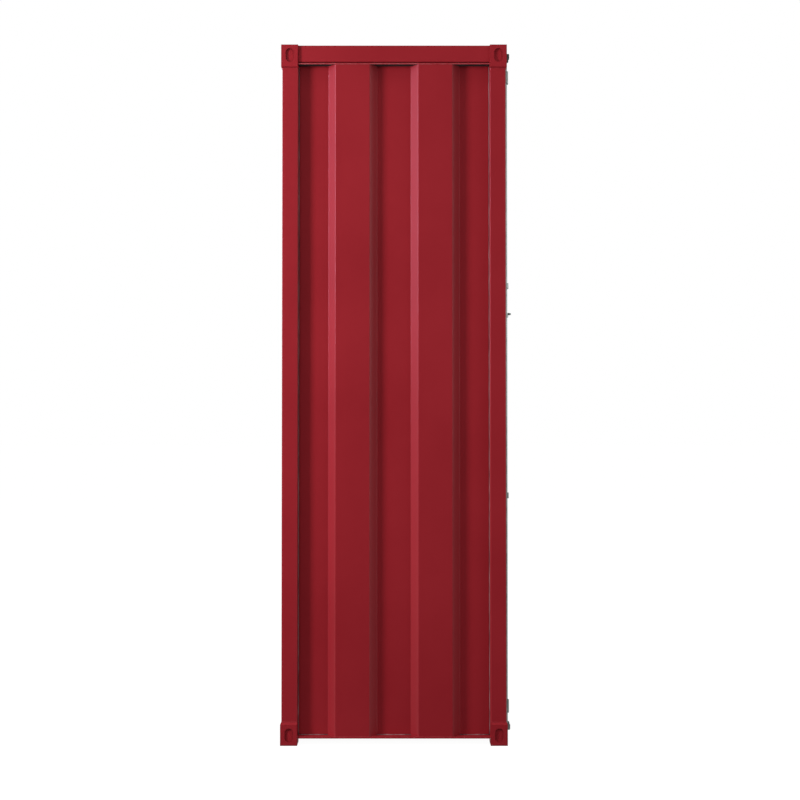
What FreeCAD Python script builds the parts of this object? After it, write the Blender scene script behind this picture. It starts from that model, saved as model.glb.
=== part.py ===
"""A tall steel locker styled as a small shipping container, as separate pieces.

Millimetres. +X is to the right of someone facing the door, +Y is towards the back and +Z is up.
The origin lies on the floor, in the middle of the whole object, its front hardware included.
"""

import FreeCAD
import Part
import math
import os

from FreeCAD import Vector

# Overall case, over the corner castings
CASE_WIDTH = 600.0
CASE_DEPTH = 582.0
CASE_HEIGHT = 1800.0

# Corner castings
CASTING_SIDE = 44.0
CASTING_HEIGHT = 60.0
CASTING_PROUD = 3.0
CASTING_WALL = 6.0
CASTING_ROUNDING = 1.2
TOP_BEVEL_RISE = 2.5
BOTTOM_BEVEL_RISE = 6.5
EYE_WIDTH = 20.0
EYE_HEIGHT = 34.0
EYE_DEPTH = 4.0
EYE_FROM_END = 27.0

# Posts and rails, square tube
TUBE_WALL = 2.0
TUBE_ROUNDING = 2.2
TOP_RAIL_HEIGHT = 43.5
TOP_RAIL_DROP = 1.0
TOP_RAIL_INSET = 2.5
SILL_TOP = 60.0
BASE_CLEARANCE = 18.0
FRAME_SETBACK = 13.0

# Door stop, a fin along the back of the door frame
STOP_WIDTH = 12.0
STOP_THICKNESS = 2.0

# Sheet metal
SHEET = 1.2
BEND_RADIUS = 2.5

# Corrugated side and back panels
PANEL_INSET = 1.0
CORRUGATION_DEPTH = 20.0
RIDGE_WIDTH = 88.0
SLOPE_RUN = 19.0
MIDDLE_VALLEY = 87.0
EDGE_FLANGE = 15.0
TOP_LIP_HEIGHT = 3.4
FOOT_LIP_HEIGHT = 4.5
LIP_PROUD = 0.8
LIP_LEAN = 1.8
PANEL_REVEAL = 2.5

# Roof and floor trays
ROOF_DROP = 10.0
ROOF_DEPTH = 24.0
ROOF_SWAGE_COUNT = 3
ROOF_SWAGE_DEPTH = 4.0
ROOF_SWAGE_WIDTH = 70.0
ROOF_SWAGE_MARGIN = 60.0
FLOOR_TOP = 50.0
TRAY_CLEARANCE = 0.5

# Door leaf
DOOR_SETBACK = 13.0
DOOR_GAP = 2.5
DOOR_ROUNDING = 2.0
LINER_FLANGE = 10.0
SWAGE_DEPTH = 6.0
SWAGE_SLOPE = 8.0
SWAGE_ROD_CLEARANCE = 42.0
SWAGE_MARGIN = 50.0
SWAGE_GAP = 34.0
SWAGE_CORNER = 14.0
LOWER_SWAGE_COUNT = 3
UPPER_SWAGE_COUNT = 2
HANDLE_BAND = 92.0
STIFFENER_WIDTH = 24.0
STIFFENER_MARGIN = 30.0
GASKET_THICKNESS = 5.0
GASKET_WIDTH = 8.5
GASKET_INSET = 1.0
GASKET_CLEARANCE = 0.3

# Hinges, on the right hand post
HINGE_COUNT = 3
HINGE_END_MARGIN = 150.0
HINGE_PIN_RADIUS = 3.0
HINGE_PIN_INBOARD = 38.0
HINGE_PIN_AHEAD = 7.0
KNUCKLE_RADIUS = 6.0
KNUCKLE_HEIGHT = 14.0
LUG_HEIGHT = 9.0
HINGE_END_PLAY = 0.4
STRAP_THICKNESS = 3.0
STRAP_HEIGHT = 34.0
STRAP_LENGTH = 68.0
STRAP_WEB = 4.0
STRAP_RIVET_INSET = 10.0
STRAP_RIVET_SPAN = 20.0
PIN_HEAD_RADIUS = 4.8
PIN_HEAD_HEIGHT = 2.5
PIN_TAIL = 1.5

# Lock rods and what turns on them
ROD_RADIUS = 7.0
ROD_WALL = 2.0
ROD_EDGE_INSET = 38.0
ROD_STANDOFF = 13.0
RUNNING_CLEARANCE = 0.07
SEAT_CLEARANCE = 0.05
GUIDE_BOTTOM_MARGIN = 20.5
GUIDE_TOP_MARGIN = 17.0
GUIDE_COUNT = 4
END_GUIDE_HEIGHT = 33.0
MIDDLE_GUIDE_HEIGHT = 15.0
GUIDE_WALL = 3.0
GUIDE_EAR_REACH = 25.0
GUIDE_RIVET_REACH = 19.0
PLATE_THICKNESS = 2.5
CAM_RADIUS = 10.0
CAM_HEIGHT = 12.0
CAM_FLAT = 8.5
CAM_SILL_DROP = 28.0
CAM_HEADER_RISE = 32.5
ROD_END_PROUD = 3.0
ROD_END_CHAMFER = 1.0

# Keepers on the header and the sill
KEEPER_HEIGHT = 16.0
KEEPER_REACH = 24.0
KEEPER_CHEEK = 3.0
KEEPER_CLEARANCE = 1.2
KEEPER_AHEAD = 12.0
KEEPER_RIVET_REACH = 19.5

# Handles
HANDLE_Z = 1110.5
HANDLE_RADIUS = 3.5
HANDLE_LENGTH = 132.0
HANDLE_AHEAD = 2.0
HUB_RADIUS = 9.5
HUB_HEIGHT = 10.0
HUB_DROP = 3.0
SOCKET_WALL = 1.6
SOCKET_END = 28.0
HANDLE_ROOT = 13.0

# Handle cups: a lip under the handle, and an arm over it with the padlock eye at its tip
HANDLE_PAST_CUP = 17.0
CUP_PLATE_HEIGHT = 56.0
CUP_PLATE_WIDTH = 22.0
CUP_RIVET_SPAN = 42.0
CUP_CLEARANCE = 1.0
CUP_LIP = 3.0
CUP_LIP_REACH = 8.0
CUP_LIP_CORNER = 4.0
CUP_ARM = 3.0
CUP_ARM_RISE = 10.5
PADLOCK_EYE_RADIUS = 3.5
PADLOCK_EYE_GAP = 11.5
PADLOCK_EYE_WALL = 3.0
PADLOCK_BOSS = 5.0

# Rivets
RIVET_RADIUS = 2.5
RIVET_HOLE_CLEARANCE = 0.1
RIVET_HEAD_RADIUS = 4.2
RIVET_HEAD_HEIGHT = 2.4
RIVET_TAIL_RADIUS = 3.6
RIVET_TAIL_HEIGHT = 1.4

# Fittings inside
SHELF_DROP = 320.0
SHELF_HEIGHT = 24.0
SHELF_SIDE_GAP = 2.0
SHELF_RAIL_LEG = 22.0
SHELF_RAIL_SHEET = 1.5
HANGER_RADIUS = 12.5
HANGER_WALL = 1.5
HANGER_DROP = 62.0
HANGER_PLAY = 0.25
HANGER_FLANGE_RADIUS = 22.0
HANGER_FLANGE = 3.0
HANGER_CUP_WALL = 3.0
HANGER_CUP_LENGTH = 14.0

# Places that follow from the sizes above
HANDLE_FRONT = ROD_STANDOFF - DOOR_SETBACK + HANDLE_AHEAD + HANDLE_RADIUS
CUP_EYE_AHEAD = HANDLE_FRONT + PADLOCK_EYE_GAP + PADLOCK_EYE_RADIUS
FRONT_REACH = CUP_EYE_AHEAD + PADLOCK_EYE_RADIUS + PADLOCK_EYE_WALL
Y_FRONT = (FRONT_REACH - CASE_DEPTH) / 2
Y_BACK = Y_FRONT + CASE_DEPTH
X_SIDE = CASE_WIDTH / 2
X_INNER = X_SIDE - CASTING_SIDE
X_POST = X_SIDE - CASTING_PROUD
Y_FRONT_INNER = Y_FRONT + CASTING_SIDE
Y_BACK_INNER = Y_BACK - CASTING_SIDE
Y_MIDDLE = (Y_FRONT + Y_BACK) / 2
RAIL_TOP = CASE_HEIGHT - TOP_RAIL_DROP
RAIL_BOTTOM = RAIL_TOP - TOP_RAIL_HEIGHT
POST_BOTTOM = CASTING_HEIGHT
POST_TOP = CASE_HEIGHT - CASTING_HEIGHT
Y_FRAME = Y_FRONT + FRAME_SETBACK
X_PANEL = X_POST - PANEL_INSET
Y_PANEL = Y_BACK - CASTING_PROUD - PANEL_INSET
X_VALLEY_INSIDE = X_PANEL - CORRUGATION_DEPTH - SHEET
Y_VALLEY_INSIDE = Y_PANEL - CORRUGATION_DEPTH - SHEET
PANEL_TOP = RAIL_BOTTOM - PANEL_REVEAL
TRAY_CORNER_GAP = SHEET + BEND_RADIUS + TRAY_CLEARANCE
Y_STOP = Y_FRONT_INNER - STOP_THICKNESS
DOOR_FACE = Y_FRONT + DOOR_SETBACK
DOOR_BACK = Y_STOP - GASKET_CLEARANCE - GASKET_THICKNESS
DOOR_HALF = X_INNER - DOOR_GAP
DOOR_BOTTOM = SILL_TOP + DOOR_GAP
DOOR_TOP = RAIL_BOTTOM - DOOR_GAP
ROD_X = DOOR_HALF - ROD_EDGE_INSET
ROD_Y = DOOR_FACE - ROD_STANDOFF
HINGE_X = X_SIDE - HINGE_PIN_INBOARD
HINGE_Y = Y_FRONT - HINGE_PIN_AHEAD
PLATE_FACE = DOOR_FACE - PLATE_THICKNESS
KEEPER_FACE = Y_FRAME - PLATE_THICKNESS
CAM_BOTTOM_Z = SILL_TOP - CAM_SILL_DROP
CAM_TOP_Z = RAIL_BOTTOM + CAM_HEADER_RISE
HANDLE_Y = ROD_Y - HANDLE_AHEAD
CUP_X = ROD_X - HANDLE_LENGTH + HANDLE_PAST_CUP
SHELF_Z = CASE_HEIGHT - SHELF_DROP
LOWEST_GUIDE_Z = DOOR_BOTTOM + GUIDE_BOTTOM_MARGIN
GUIDE_RUN = DOOR_TOP - GUIDE_TOP_MARGIN - LOWEST_GUIDE_Z
GUIDE_HEIGHTS = [LOWEST_GUIDE_Z + GUIDE_RUN * step / (GUIDE_COUNT - 1) for step in range(GUIDE_COUNT)]
LOWEST_HINGE_Z = DOOR_BOTTOM + HINGE_END_MARGIN
HINGE_RUN = DOOR_TOP - HINGE_END_MARGIN - LOWEST_HINGE_Z
HINGE_HEIGHTS = [LOWEST_HINGE_Z + HINGE_RUN * step / (HINGE_COUNT - 1) for step in range(HINGE_COUNT)]
RIVET_HOLE_RADIUS = RIVET_RADIUS + RIVET_HOLE_CLEARANCE
SIDES = {"left": -1, "right": 1}
ENDS = {"front": -1, "rear": 1}
STRAIGHT_ENOUGH = 1e-6
Z_AXIS = Vector(0, 0, 1)
Y_AXIS = Vector(0, 1, 0)
X_AXIS = Vector(1, 0, 0)


# Small helpers

def block(x_range, y_range, z_range):
    """An upright box between two limits on each axis, in either order."""
    lows = [min(limits) for limits in (x_range, y_range, z_range)]
    spans = [abs(limits[1] - limits[0]) for limits in (x_range, y_range, z_range)]
    return Part.makeBox(*spans, Vector(*lows))


def edges_along(solid, axis):
    """The straight edges of a solid that run along an axis."""
    found = []
    for edge in solid.Edges:
        if isinstance(edge.Curve, Part.Line):
            across = edge.tangentAt(edge.FirstParameter).cross(axis)
            if across.Length < STRAIGHT_ENOUGH:
                found.append(edge)
    return found


def rounded_along(solid, axis, radius):
    """A solid with its edges along one axis rounded."""
    return solid.makeFillet(radius, edges_along(solid, axis))


def upright_cylinder(radius, x, y, z_low, z_high):
    return Part.makeCylinder(radius, z_high - z_low, Vector(x, y, z_low), Z_AXIS)


def joined(solids):
    """One solid from several that touch or overlap."""
    return solids[0].multiFuse(solids[1:]).removeSplitter()


def tube(x_range, y_range, z_range, axis):
    """A square tube with rounded long edges, open at both ends along its axis."""
    outer = rounded_along(block(x_range, y_range, z_range), axis, TUBE_ROUNDING)
    bore_ranges = []
    for limits, direction in zip((x_range, y_range, z_range), (X_AXIS, Y_AXIS, Z_AXIS)):
        low, high = min(limits), max(limits)
        if direction == axis:
            bore_ranges.append((low, high))
        else:
            bore_ranges.append((low + TUBE_WALL, high - TUBE_WALL))
    return outer.cut(block(*bore_ranges))


def rounded_chain(points, radii):
    """Edges along an open line of points, with an arc of the given radius at each corner."""
    edges = []
    start = points[0]
    for before, corner, after, radius in zip(points, points[1:], points[2:], radii):
        into = (corner - before).normalize()
        out = (after - corner).normalize()
        half_turn = into.getAngle(out) / 2
        setback = radius * math.tan(half_turn)
        arc_start = corner - into * setback
        arc_end = corner + out * setback
        towards_centre = (out - into).normalize()
        arc_middle = corner + towards_centre * (radius / math.cos(half_turn) - radius)
        edges.append(Part.LineSegment(start, arc_start).toShape())
        edges.append(Part.Arc(arc_start, arc_middle, arc_end).toShape())
        start = arc_end
    edges.append(Part.LineSegment(start, points[-1]).toShape())
    return edges


def bent_sheet(points, thickness, bend_radius):
    """The section of a bent sheet, as a face: points follow its outer skin, and it lies to their right."""
    directions = [(after - before).normalize() for before, after in zip(points, points[1:])]
    normals = [Vector(way.y, -way.x, 0) for way in directions]
    inner = [points[0] + normals[0] * thickness]
    outer_radii = []
    inner_radii = []
    for index, corner in enumerate(points[1:-1]):
        first, second = normals[index], normals[index + 1]
        inner.append(corner + (first + second) * (thickness / (1 + first.dot(second))))
        turns_left = directions[index].cross(directions[index + 1]).z > 0
        outer_radii.append(bend_radius if turns_left else bend_radius + thickness)
        inner_radii.append(bend_radius + thickness if turns_left else bend_radius)
    inner.append(points[-1] + normals[-1] * thickness)
    edges = rounded_chain(points, outer_radii)
    edges.append(Part.LineSegment(points[-1], inner[-1]).toShape())
    edges += rounded_chain(inner, inner_radii)
    edges.append(Part.LineSegment(inner[0], points[0]).toShape())
    return Part.Face(Part.Wire(Part.__sortEdges__(edges)))


def rounded_rectangle(x_range, z_range, y, radius):
    """A closed wire in an upright plane that faces the front."""
    left, right = x_range
    low, high = z_range
    middle = Vector((left + right) / 2, y, low)
    corners = [(right, low), (right, high), (left, high), (left, low)]
    points = [middle] + [Vector(x, y, z) for x, z in corners] + [middle]
    return Part.Wire(rounded_chain(points, [radius] * len(corners)))


def tray(outline, z_top, depth, sheet):
    """A folded tray, open underneath: a flat top with a flange down from each side of its outline."""
    corners = [Vector(x, y, z_top) for x, y in outline]
    face = Part.Face(Part.makePolygon(corners + corners[:1]))
    hollow = face.makeOffset2D(-sheet)
    hollow.translate(Z_AXIS * -sheet)
    return face.extrude(Z_AXIS * -depth).cut(hollow.extrude(Z_AXIS * -depth))


# Case: castings, posts and rails

def eye(centre, outward):
    """The shallow oval recess in a casting's face, as the solid to cut away."""
    straight = EYE_HEIGHT - EYE_WIDTH
    radius = EYE_WIDTH / 2
    along = Z_AXIS if abs(outward.z) < 0.5 else Y_AXIS
    ends = [centre + along * (straight / 2), centre - along * (straight / 2)]
    rounds = [Part.makeCylinder(radius, EYE_DEPTH, end, -outward) for end in ends]
    across = outward.cross(along)
    corners = [
        centre + across * (radius * side) + along * (straight / 2 * end)
        for side, end in ((1, 1), (-1, 1), (-1, -1), (1, -1))
    ]
    middle = Part.Face(Part.makePolygon(corners + corners[:1])).extrude(outward * -EYE_DEPTH)
    return joined([middle] + rounds)


def casting(x_side, y_side, at_top):
    """A corner casting: a block with oval eyes, hollow on the side that the post meets."""
    x_outer, x_inner = x_side * X_SIDE, x_side * X_INNER
    y_outer = Y_FRONT if y_side < 0 else Y_BACK
    y_inner = Y_FRONT_INNER if y_side < 0 else Y_BACK_INNER
    z_end = CASE_HEIGHT if at_top else 0.0
    z_post = POST_TOP if at_top else POST_BOTTOM
    away = 1 if at_top else -1
    body = block((x_outer, x_inner), (y_outer, y_inner), (z_end, z_post))
    body = body.makeFillet(CASTING_ROUNDING, body.Edges)
    cavity = block(
        (x_outer - x_side * CASTING_WALL, x_inner + x_side * CASTING_WALL),
        (y_outer - y_side * CASTING_WALL, y_inner + y_side * CASTING_WALL),
        (z_post, z_end - away * CASTING_WALL),
    )
    x_middle, y_middle = (x_outer + x_inner) / 2, (y_outer + y_inner) / 2
    z_eye = z_end - away * EYE_FROM_END
    cuts = [
        cavity,
        eye(Vector(x_outer, y_middle, z_eye), X_AXIS * x_side),
        eye(Vector(x_middle, y_outer, z_eye), Y_AXIS * y_side),
    ]
    if at_top:
        cuts.append(eye(Vector(x_middle, y_middle, z_end), Z_AXIS))
    cuts += casting_bevels(x_side, y_side, z_post, away)
    return body.cut(cuts)


def casting_bevels(x_side, y_side, z_post, away):
    """The wedges that slope a casting's two outer faces back to the post."""
    x_outer = x_side * X_SIDE
    y_outer = Y_FRONT if y_side < 0 else Y_BACK
    rise = TOP_BEVEL_RISE if away > 0 else BOTTOM_BEVEL_RISE
    slope_end = z_post + away * rise
    across_x = [
        Vector(x_outer, 0, z_post),
        Vector(x_outer - x_side * CASTING_PROUD, 0, z_post),
        Vector(x_outer, 0, slope_end),
    ]
    across_y = [
        Vector(0, y_outer, z_post),
        Vector(0, y_outer - y_side * CASTING_PROUD, z_post),
        Vector(0, y_outer, slope_end),
    ]
    wedge_x = Part.Face(Part.makePolygon(across_x + across_x[:1])).extrude(Y_AXIS * CASE_DEPTH * 2)
    wedge_x.translate(Y_AXIS * -CASE_DEPTH)
    wedge_y = Part.Face(Part.makePolygon(across_y + across_y[:1])).extrude(X_AXIS * CASE_WIDTH * 2)
    wedge_y.translate(X_AXIS * -CASE_WIDTH)
    return [wedge_x, wedge_y]


def corner_post(x_side, y_side):
    """A post between two castings. A front one carries the door stop along its back edge."""
    y_outer = Y_FRONT + CASTING_PROUD if y_side < 0 else Y_BACK - CASTING_PROUD
    y_inner = Y_FRONT_INNER if y_side < 0 else Y_BACK_INNER
    x_range = (x_side * X_POST, x_side * X_INNER)
    post = tube(x_range, (y_outer, y_inner), (POST_BOTTOM, POST_TOP), Z_AXIS)
    if y_side > 0:
        return post
    fin = block(
        (x_side * (X_INNER + TUBE_ROUNDING), x_side * (X_INNER - STOP_WIDTH)),
        (Y_STOP, Y_FRONT_INNER),
        (max(SILL_TOP + STOP_WIDTH, POST_BOTTOM), min(RAIL_BOTTOM - STOP_WIDTH, POST_TOP)),
    )
    bore = block(
        (x_range[0] - x_side * TUBE_WALL, x_range[1] + x_side * TUBE_WALL),
        (y_outer + TUBE_WALL, y_inner - TUBE_WALL),
        (POST_BOTTOM, POST_TOP),
    )
    return joined([post, fin.cut(bore)])


def side_rail(x_side):
    """A top rail along one side, between two castings."""
    x_range = (x_side * (X_POST - TOP_RAIL_INSET), x_side * X_INNER)
    return tube(x_range, (Y_FRONT_INNER, Y_BACK_INNER), (RAIL_BOTTOM, RAIL_TOP), Y_AXIS)


def rear_rail():
    y_range = (Y_BACK_INNER, Y_BACK - CASTING_PROUD - TOP_RAIL_INSET)
    return tube((-X_INNER, X_INNER), y_range, (RAIL_BOTTOM, RAIL_TOP), X_AXIS)


def front_rail(z_range, stop_range, keeper_z):
    """The header or the sill: a tube across the front, with its door stop and its keepers' rivet holes."""
    y_range = (Y_FRAME, Y_FRONT_INNER)
    rail = tube((-X_INNER, X_INNER), y_range, z_range, X_AXIS)
    stop = block((-X_INNER, X_INNER), (Y_STOP, Y_FRONT_INNER), stop_range)
    bore = block(
        (-X_INNER, X_INNER),
        (y_range[0] + TUBE_WALL, y_range[1] - TUBE_WALL),
        (z_range[0] + TUBE_WALL, z_range[1] - TUBE_WALL),
    )
    rail = joined([rail, stop.cut(bore)])
    holes = [rivet_hole(x, Y_FRAME, z, TUBE_WALL) for x, z in keeper_rivets(keeper_z)]
    return rail.cut(holes)


def header():
    stop_range = (RAIL_BOTTOM - STOP_WIDTH, RAIL_BOTTOM + TUBE_ROUNDING)
    return front_rail((RAIL_BOTTOM, RAIL_TOP), stop_range, CAM_TOP_Z)


def sill():
    stop_range = (SILL_TOP - TUBE_ROUNDING, SILL_TOP + STOP_WIDTH)
    return front_rail((BASE_CLEARANCE, SILL_TOP), stop_range, CAM_BOTTOM_Z)


# Case: sheet metal

def corrugated_panel(width):
    """A corrugated sheet with closed ends, in its own frame: X across, outer skin at Y 0, outward -Y."""
    half = width / 2
    valley_end = MIDDLE_VALLEY / 2
    ridge_start = valley_end + SLOPE_RUN
    ridge_end = ridge_start + RIDGE_WIDTH
    edge_valley = ridge_end + SLOPE_RUN
    depth = CORRUGATION_DEPTH
    right_half = [
        (valley_end, depth),
        (ridge_start, 0),
        (ridge_end, 0),
        (edge_valley, depth),
        (half, depth),
        (half, depth + EDGE_FLANGE),
    ]
    left_half = [(-x, y) for x, y in reversed(right_half)]
    # Travelled from right to left, the sheet's thickness lies on the inner side.
    outer = [Vector(x, y, BASE_CLEARANCE) for x, y in reversed(left_half + right_half)]
    sheet = bent_sheet(outer, SHEET, BEND_RADIUS).extrude(Z_AXIS * (PANEL_TOP - BASE_CLEARANCE))
    return joined([sheet] + top_lip(half) + bottom_lip(half))


def top_lip(half):
    """What closes a panel's top: a strip that leans out past the ridges, a plate and an upstand."""
    lower, upper = -LIP_PROUD, LIP_LEAN - LIP_PROUD
    section = [
        Vector(-half, lower, PANEL_TOP - TOP_LIP_HEIGHT),
        Vector(-half, lower + LIP_PROUD + SHEET, PANEL_TOP - TOP_LIP_HEIGHT),
        Vector(-half, upper + SHEET, PANEL_TOP),
        Vector(-half, upper, PANEL_TOP),
    ]
    strip = Part.Face(Part.makePolygon(section + section[:1])).extrude(X_AXIS * 2 * half)
    back = CORRUGATION_DEPTH + SHEET
    plate = block((-half, half), (upper, back), (PANEL_TOP - SHEET, PANEL_TOP))
    upstand = block((-half, half), (back - SHEET, back), (PANEL_TOP - SHEET, PANEL_TOP + PANEL_REVEAL))
    return [strip, plate, upstand]


def bottom_lip(half):
    """What closes a panel's foot: a ledge across the valleys, and a strip down from its front edge."""
    z_ledge = BASE_CLEARANCE + FOOT_LIP_HEIGHT
    strip = block((-half, half), (-LIP_PROUD, SHEET), (BASE_CLEARANCE, z_ledge))
    outer_top = [
        edge
        for edge in edges_along(strip, X_AXIS)
        if edge.CenterOfMass.y < 0 and edge.CenterOfMass.z > z_ledge - SHEET
    ]
    strip = strip.makeFillet(LIP_PROUD, outer_top)
    ledge = block((-half, half), (0, CORRUGATION_DEPTH + SHEET), (z_ledge - SHEET, z_ledge))
    return [strip, ledge]


def side_panel(x_side):
    panel = corrugated_panel(Y_BACK_INNER - Y_FRONT_INNER)
    panel.rotate(Vector(0, 0, 0), Z_AXIS, x_side * 90)
    panel.translate(Vector(x_side * X_PANEL, Y_MIDDLE, 0))
    return panel


def back_panel():
    panel = corrugated_panel(2 * X_INNER)
    panel.rotate(Vector(0, 0, 0), Z_AXIS, 180)
    panel.translate(Vector(0, Y_PANEL, 0))
    return panel


def roof_panel():
    """A tray let in between the top rails, with shallow swages across it."""
    outline = [
        (-X_INNER, Y_FRONT_INNER),
        (X_INNER, Y_FRONT_INNER),
        (X_INNER, Y_BACK_INNER),
        (-X_INNER, Y_BACK_INNER),
    ]
    z_top = RAIL_TOP - ROOF_DROP
    roof = tray(outline, z_top, ROOF_DEPTH, SHEET)
    spacing = (Y_BACK_INNER - Y_FRONT_INNER) / ROOF_SWAGE_COUNT
    reach = X_INNER - ROOF_SWAGE_MARGIN
    pressed = []
    hollows = []
    for index in range(ROOF_SWAGE_COUNT):
        y = Y_FRONT_INNER + spacing * (index + 0.5)
        outer, inner = roof_swage(reach, y, z_top)
        pressed.append(outer)
        hollows.append(inner)
    return joined([roof] + pressed).cut(hollows)


def roof_swage(reach, y, z_top):
    """One swage pressed down into the roof: its metal, and the hollow above it."""
    half = ROOF_SWAGE_WIDTH / 2
    slope = ROOF_SWAGE_DEPTH

    def frustum(grow, sink):
        wires = []
        for z, inset in ((z_top, 0.0), (z_top - ROOF_SWAGE_DEPTH - sink, slope)):
            x_edge, y_edge = reach - inset + grow, half - inset + grow
            corners = [
                Vector(x_edge, y - y_edge, z),
                Vector(x_edge, y + y_edge, z),
                Vector(-x_edge, y + y_edge, z),
                Vector(-x_edge, y - y_edge, z),
            ]
            wires.append(Part.makePolygon(corners + corners[:1]))
        return Part.makeLoft(wires, True, True)

    return frustum(SHEET, SHEET), frustum(0.0, 0.0)


def inside_outline(side_reach, corner_gap):
    """The plan of the space inside: full width between the posts, narrower beside them."""
    narrow = X_INNER - corner_gap
    y_front_wide = Y_FRONT_INNER + corner_gap
    y_back_wide = Y_BACK_INNER - corner_gap
    right = [
        (narrow, Y_FRONT_INNER),
        (narrow, y_front_wide),
        (side_reach, y_front_wide),
        (side_reach, y_back_wide),
        (narrow, y_back_wide),
        (narrow, Y_VALLEY_INSIDE),
    ]
    left = [(-x, y) for x, y in reversed(right)]
    return right + left


def floor_panel():
    outline = inside_outline(X_VALLEY_INSIDE, TRAY_CORNER_GAP)
    return tray(outline, FLOOR_TOP, FLOOR_TOP - BASE_CLEARANCE, SHEET)


# Fittings inside

def shelf():
    """A folded shelf that lies on its two side rails."""
    reach = X_VALLEY_INSIDE - SHELF_RAIL_SHEET - SHELF_SIDE_GAP
    y_front, y_back = Y_FRONT_INNER + TRAY_CORNER_GAP, Y_BACK_INNER - TRAY_CORNER_GAP
    outline = [(-reach, y_front), (reach, y_front), (reach, y_back), (-reach, y_back)]
    return tray(outline, SHELF_Z + SHELF_HEIGHT, SHELF_HEIGHT, SHEET)


def shelf_rail(x_side):
    """An angle along one side panel, welded to its valleys."""
    x_wall = X_VALLEY_INSIDE
    y_range = (Y_FRONT_INNER + TRAY_CORNER_GAP, Y_BACK_INNER - TRAY_CORNER_GAP)
    upright = block(
        (x_side * x_wall, x_side * (x_wall - SHELF_RAIL_SHEET)),
        y_range,
        (SHELF_Z - SHELF_RAIL_LEG, SHELF_Z),
    )
    ledge = block(
        (x_side * x_wall, x_side * (x_wall - SHELF_RAIL_LEG)),
        y_range,
        (SHELF_Z - SHELF_RAIL_SHEET, SHELF_Z),
    )
    return joined([upright, ledge])


def hanging_rail():
    """The tube for coat hangers, from one end cup to the other."""
    reach = X_VALLEY_INSIDE - HANGER_FLANGE
    z = SHELF_Z - HANGER_DROP
    start = Vector(-reach, Y_MIDDLE, z)
    outer = Part.makeCylinder(HANGER_RADIUS, 2 * reach, start, X_AXIS)
    bore = Part.makeCylinder(HANGER_RADIUS - HANGER_WALL, 2 * reach, start, X_AXIS)
    return outer.cut(bore)


def rail_cup(x_side):
    """A round end cup on a side panel's middle valley, which holds one end of the hanging rail."""
    way = X_AXIS * -x_side
    centre = Vector(x_side * X_VALLEY_INSIDE, Y_MIDDLE, SHELF_Z - HANGER_DROP)
    bore_radius = HANGER_RADIUS + HANGER_PLAY
    flange = Part.makeCylinder(HANGER_FLANGE_RADIUS, HANGER_FLANGE, centre, way)
    cup = Part.makeCylinder(bore_radius + HANGER_CUP_WALL, HANGER_CUP_LENGTH, centre, way)
    bore_start = centre + way * HANGER_FLANGE
    bore = Part.makeCylinder(bore_radius, HANGER_CUP_LENGTH, bore_start, way)
    return joined([flange, cup]).cut(bore)


# Rivets and where they go

def rivet(x, seat_y, z, grip):
    """A rivet whose head sits on a face that looks to the front, clenched behind the metal that it grips."""
    head = Part.makeCylinder(RIVET_HEAD_RADIUS, RIVET_HEAD_HEIGHT, Vector(x, seat_y, z), -Y_AXIS)
    rim = [edge for edge in head.Edges if edge.CenterOfMass.y < seat_y - RIVET_HEAD_HEIGHT / 2]
    rim = [edge for edge in rim if isinstance(edge.Curve, Part.Circle)]
    head = head.makeFillet(RIVET_HEAD_HEIGHT * 0.8, rim)
    shank = Part.makeCylinder(RIVET_RADIUS, grip, Vector(x, seat_y, z), Y_AXIS)
    tail_start = Vector(x, seat_y + grip, z)
    tail = Part.makeCylinder(RIVET_TAIL_RADIUS, RIVET_TAIL_HEIGHT, tail_start, Y_AXIS)
    return joined([head, shank, tail])


def rivet_hole(x, y, z, depth):
    return Part.makeCylinder(RIVET_HOLE_RADIUS, depth, Vector(x, y, z), Y_AXIS)


def guide_rivets():
    return [
        (side * ROD_X + ear * GUIDE_RIVET_REACH, z)
        for side in SIDES.values()
        for z in GUIDE_HEIGHTS
        for ear in (-1, 1)
    ]


def strap_rivets():
    x = strap_rivet_x()
    return [(x, z + end * STRAP_RIVET_SPAN / 2) for z in HINGE_HEIGHTS for end in (-1, 1)]


def cup_rivets():
    return [
        (side * CUP_X, HANDLE_Z + end * CUP_RIVET_SPAN / 2)
        for side in SIDES.values()
        for end in (-1, 1)
    ]


def keeper_rivets(z):
    return [
        (side * ROD_X + ear * KEEPER_RIVET_REACH, z)
        for side in SIDES.values()
        for ear in (-1, 1)
    ]


def riveted(places, seat_y, grip):
    return Part.makeCompound([rivet(x, seat_y, z, grip) for x, z in places])


# Door leaf

def swage_ranges():
    """The lowest and highest Z of each swage, below and above the handles."""
    band_low = HANDLE_Z - HANDLE_BAND / 2
    band_high = HANDLE_Z + HANDLE_BAND / 2
    ranges = []
    for low, high, count in (
        (DOOR_BOTTOM + SWAGE_MARGIN, band_low, LOWER_SWAGE_COUNT),
        (band_high, DOOR_TOP - SWAGE_MARGIN, UPPER_SWAGE_COUNT),
    ):
        height = (high - low - SWAGE_GAP * (count - 1)) / count
        for index in range(count):
            start = low + index * (height + SWAGE_GAP)
            ranges.append((start, start + height))
    return ranges


def swage(z_range, grow):
    """A pressed recess in the door's face, or with grow the metal round it."""
    wires = []
    for y, inset in ((DOOR_FACE, 0.0), (DOOR_FACE + SWAGE_DEPTH + grow, SWAGE_SLOPE)):
        reach = ROD_X - SWAGE_ROD_CLEARANCE - inset + grow
        heights = (z_range[0] + inset - grow, z_range[1] - inset + grow)
        corner = SWAGE_CORNER - inset / 2 + grow
        wires.append(rounded_rectangle((-reach, reach), heights, y, corner))
    return Part.makeLoft(wires, True, True)


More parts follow.
